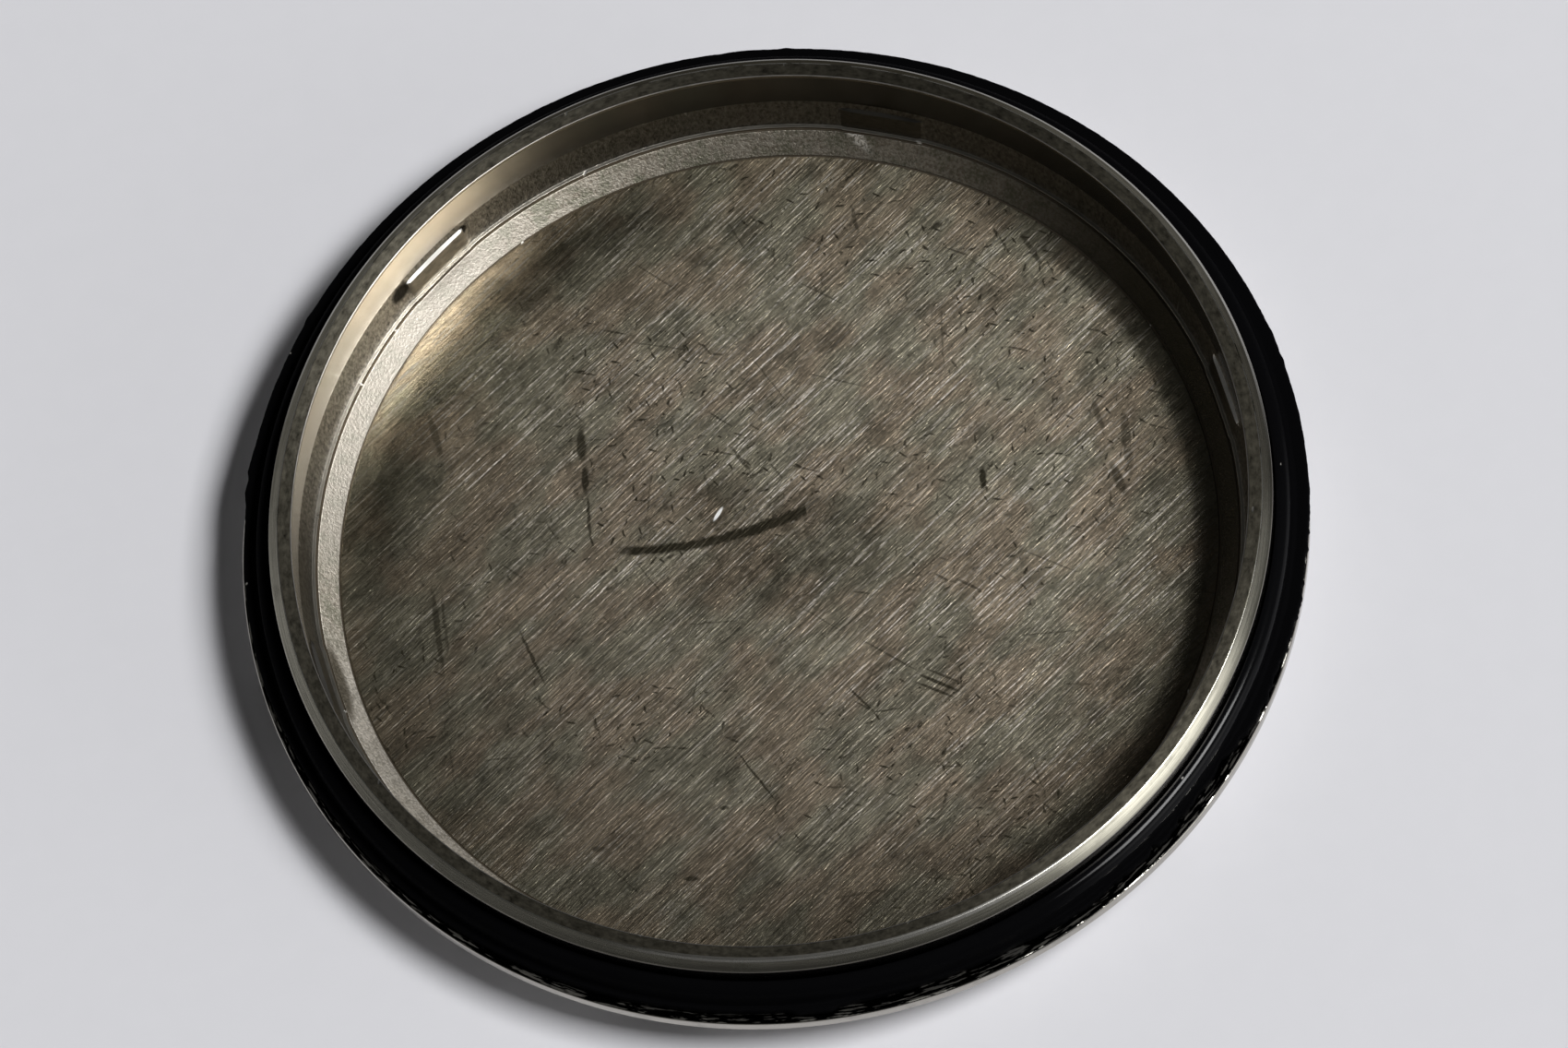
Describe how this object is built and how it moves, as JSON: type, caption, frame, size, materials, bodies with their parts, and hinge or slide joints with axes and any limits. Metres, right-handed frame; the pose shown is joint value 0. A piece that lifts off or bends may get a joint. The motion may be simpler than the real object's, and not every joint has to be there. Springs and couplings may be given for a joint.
{
  "type": "watch case back with sealing gasket",
  "caption": "Round steel watch case back with a necked recess, bevelled outer face with wrench notches, and a black collared sealing gasket on its flange.",
  "frame": {"origin": "centre of the flat outer face, which the back lies on", "axes": "+Z along the back's own axis, out of the recess; -Y towards the side nearest the camera in the picture"},
  "size_m": [0.0342, 0.0342, 0.0042],
  "materials": {
    "steel": "straight-brushed floor, grainy ring, turned rim, scratched",
    "gasket_rubber": "black, glossy collar, worn ragged edge"
  },
  "bodies": {
    "case_back": {"case_back": "steel"},
    "sealing_gasket": {"sealing_gasket": "gasket_rubber"}
  },
  "joints": [
    {"name": "gasket_lift", "type": "slide", "parent": "case_back", "child": "sealing_gasket", "axis": [0, 0, 1], "range_m": [0, 0.006]}
  ]
}
